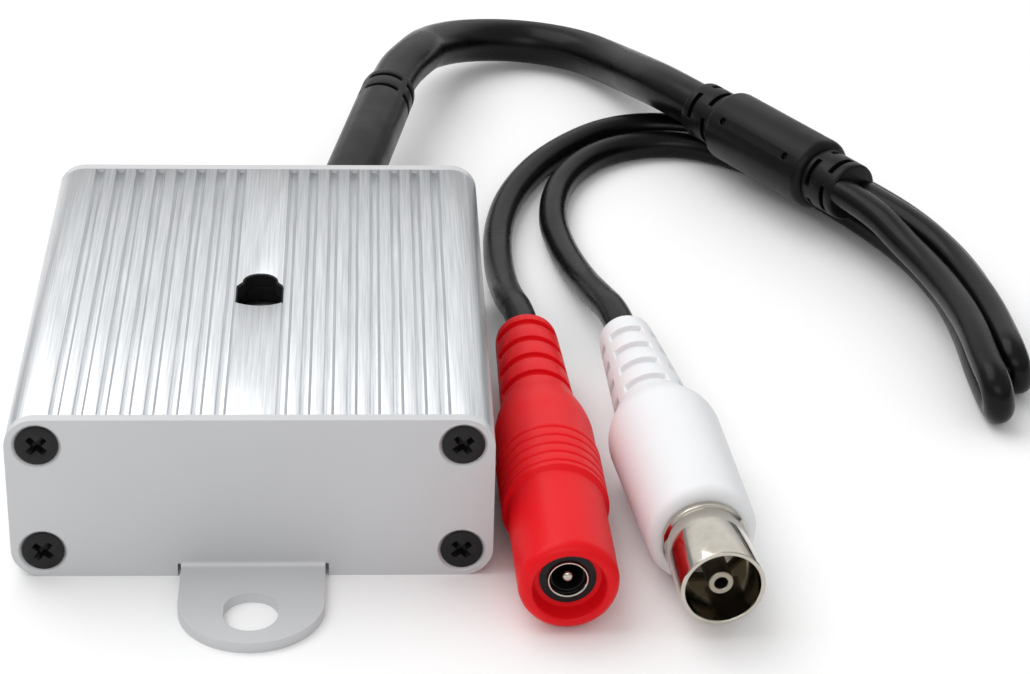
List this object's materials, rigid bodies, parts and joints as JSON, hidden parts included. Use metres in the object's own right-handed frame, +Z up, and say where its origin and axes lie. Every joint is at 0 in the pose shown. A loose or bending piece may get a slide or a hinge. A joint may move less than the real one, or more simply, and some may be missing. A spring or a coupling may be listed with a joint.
{
  "type": "surveillance microphone",
  "caption": "Ribbed aluminium pickup microphone with bent mounting ears, a moulded cable boot and a lead that splits into a power socket and an audio socket.",
  "frame": {"origin": "middle of the case's length and width, on the surface that it stands on", "axes": "+Z up, +Y from the blank front plate towards the plate with the cable, +X towards the side where the sockets lie"},
  "size_m": [0.1154, 0.152, 0.0188],
  "materials": {
    "case_aluminium": "extruded and brushed along the ribs, clear anodised",
    "plate_aluminium": "cut and bent sheet, satin anodised",
    "black_screws": "black oxide",
    "black_rubber": "moulded",
    "capsule_can": "drawn can",
    "board_laminate": "solder mask",
    "black_component": "moulded",
    "capacitor_sleeve": "shrunk sleeve",
    "trimmer_blue": "moulded",
    "resistor_tan": "dipped lacquer",
    "black_plastic": "moulded soft vinyl",
    "cable_jacket": "extruded soft vinyl",
    "red_plastic": "moulded soft vinyl",
    "white_plastic": "moulded soft vinyl",
    "cream_plastic": "moulded",
    "nickel": "turned and nickel plated"
  },
  "bodies": {
    "root": {"enclosure_extrusion": "case_aluminium", "front_end_plate": "plate_aluminium", "rear_end_plate": "plate_aluminium", "front_plate_screws": "black_screws", "rear_plate_screws": "black_screws", "microphone_sleeve": "black_rubber", "microphone_capsule": "capsule_can", "circuit_board": "board_laminate", "amplifier_chip": "black_component", "coupling_capacitors": "capacitor_sleeve", "supply_capacitor": "capacitor_sleeve", "voltage_regulator": "black_component", "gain_trimmer": "trimmer_blue", "board_resistors": "resistor_tan", "power_lead_wire": "red_plastic", "audio_lead_wire": "white_plastic", "ground_lead_wire": "black_plastic", "cable_boot": "black_plastic", "cable_splitter": "black_plastic", "main_cable": "cable_jacket", "power_tail_cable": "cable_jacket", "audio_tail_cable": "cable_jacket", "power_socket_body": "red_plastic", "power_socket_barrel": "nickel", "power_socket_insulator": "black_component", "power_socket_pin": "nickel", "audio_socket_body": "white_plastic", "audio_socket_shell": "nickel", "audio_socket_insulator": "cream_plastic", "audio_socket_contact": "nickel"}
  },
  "joints": []
}
